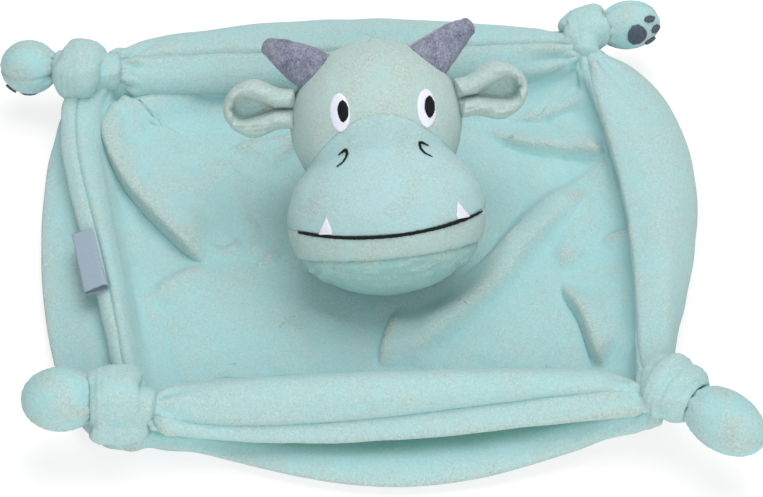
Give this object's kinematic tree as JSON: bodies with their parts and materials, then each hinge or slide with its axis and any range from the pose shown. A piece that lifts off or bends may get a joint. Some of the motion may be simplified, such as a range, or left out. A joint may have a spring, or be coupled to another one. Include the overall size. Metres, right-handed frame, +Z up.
{
  "type": "dragon lovey dog toy",
  "caption": "Plush dog comforter toy: a double blanket with knotted corners that end in stuffed paws, and a stuffed dragon head with horns and folded ears sewn on its middle.",
  "frame": {"origin": "on the floor under the middle of the blanket, on the flat underside of the back panel", "axes": "+Z up, -Y to the front where the face looks, +X to the right seen from the front"},
  "size_m": [0.3573, 0.2902, 0.0974],
  "materials": {
    "mint_plush": "short-pile plush",
    "pale_plush": "short-pile plush",
    "horn_plush": "brushed felt-like plush",
    "wadding": "loose polyester fibre",
    "white_thread": "satin stitch embroidery",
    "black_thread": "satin stitch embroidery",
    "pad_thread": "satin stitch embroidery",
    "label_ribbon": "woven satin ribbon, bare",
    "squeaker_plastic": "moulded"
  },
  "bodies": {
    "blanket": {"blanket_top_panel": "mint_plush", "blanket_back_panel": "mint_plush", "neck_seam": "mint_plush", "knot_front_left": "mint_plush", "knot_front_right": "mint_plush", "knot_back_right": "mint_plush", "knot_back_left": "mint_plush"},
    "label": {"label_loop": "label_ribbon"},
    "head": {"head_chin_band": "pale_plush", "head_jaw_panel": "mint_plush", "head_muzzle_panel": "mint_plush", "head_crown_panel": "pale_plush", "head_back_left_panel": "pale_plush", "head_back_right_panel": "pale_plush", "head_filling": "wadding", "squeaker_bulb": "squeaker_plastic", "squeaker_reed": "squeaker_plastic", "mouth_line": "black_thread", "eye_white_left": "white_thread", "pupil_left": "black_thread", "nostril_left": "black_thread", "tooth_left": "white_thread", "horn_left": "horn_plush", "eye_white_right": "white_thread", "pupil_right": "black_thread", "nostril_right": "black_thread", "tooth_right": "white_thread", "horn_right": "horn_plush"},
    "ear_left": {"ear_left_outer": "pale_plush", "ear_left_inner": "mint_plush"},
    "ear_right": {"ear_right_outer": "pale_plush", "ear_right_inner": "mint_plush"},
    "paw_front_left": {"paw_front_left_cover": "mint_plush", "paw_front_left_filling": "wadding", "paw_front_left_sole_pad": "pad_thread", "paw_front_left_toe_pad_1": "pad_thread", "paw_front_left_toe_pad_2": "pad_thread", "paw_front_left_toe_pad_3": "pad_thread"},
    "paw_front_right": {"paw_front_right_cover": "mint_plush", "paw_front_right_filling": "wadding", "paw_front_right_sole_pad": "pad_thread", "paw_front_right_toe_pad_1": "pad_thread", "paw_front_right_toe_pad_2": "pad_thread", "paw_front_right_toe_pad_3": "pad_thread"},
    "paw_back_right": {"paw_back_right_cover": "mint_plush", "paw_back_right_filling": "wadding", "paw_back_right_sole_pad": "pad_thread", "paw_back_right_toe_pad_1": "pad_thread", "paw_back_right_toe_pad_2": "pad_thread", "paw_back_right_toe_pad_3": "pad_thread"},
    "paw_back_left": {"paw_back_left_cover": "mint_plush", "paw_back_left_filling": "wadding", "paw_back_left_sole_pad": "pad_thread", "paw_back_left_toe_pad_1": "pad_thread", "paw_back_left_toe_pad_2": "pad_thread", "paw_back_left_toe_pad_3": "pad_thread"}
  },
  "joints": [
    {"name": "head_tilt", "type": "hinge", "parent": "blanket", "child": "head", "pos_m": [0, 0.045, 0.005], "axis": [-0.9959, -0.0903, 0], "range_deg": [0, 25]},
    {"name": "label_lift", "type": "hinge", "parent": "blanket", "child": "label", "pos_m": [-0.13088, -0.01777, 0.02173], "axis": [-0.2414, 0.9704, -0.0088], "range_deg": [0, 70]},
    {"name": "ear_left_fold", "type": "hinge", "parent": "head", "child": "ear_left", "pos_m": [-0.04612, 0.03178, 0.0666], "axis": [-0.0988, 0.6638, 0.7413], "range_deg": [-25, 25], "stiffness_Nm_per_rad": 0.01},
    {"name": "ear_right_fold", "type": "hinge", "parent": "head", "child": "ear_right", "pos_m": [0.04013, 0.0396, 0.0711], "axis": [-0.0988, 0.6638, 0.7413], "range_deg": [-25, 25], "stiffness_Nm_per_rad": 0.01},
    {"name": "paw_front_left_bend", "type": "hinge", "parent": "blanket", "child": "paw_front_left", "pos_m": [-0.12522, -0.10836, 0.03036], "axis": [-0.0499, 0.9988, 0], "range_deg": [-20, 20], "stiffness_Nm_per_rad": 0.03},
    {"name": "paw_front_right_bend", "type": "hinge", "parent": "blanket", "child": "paw_front_right", "pos_m": [0.13591, -0.10782, 0.0295], "axis": [-0.669, -0.7433, 0], "range_deg": [-20, 20], "stiffness_Nm_per_rad": 0.03},
    {"name": "paw_back_right_bend", "type": "hinge", "parent": "blanket", "child": "paw_back_right", "pos_m": [0.11142, 0.13436, 0.02639], "axis": [0.1504, -0.9886, 0], "range_deg": [-20, 20], "stiffness_Nm_per_rad": 0.03},
    {"name": "paw_back_left_bend", "type": "hinge", "parent": "blanket", "child": "paw_back_left", "pos_m": [-0.16296, 0.10501, 0.02648], "axis": [0.1286, 0.9917, 0], "range_deg": [-20, 20], "stiffness_Nm_per_rad": 0.03}
  ]
}
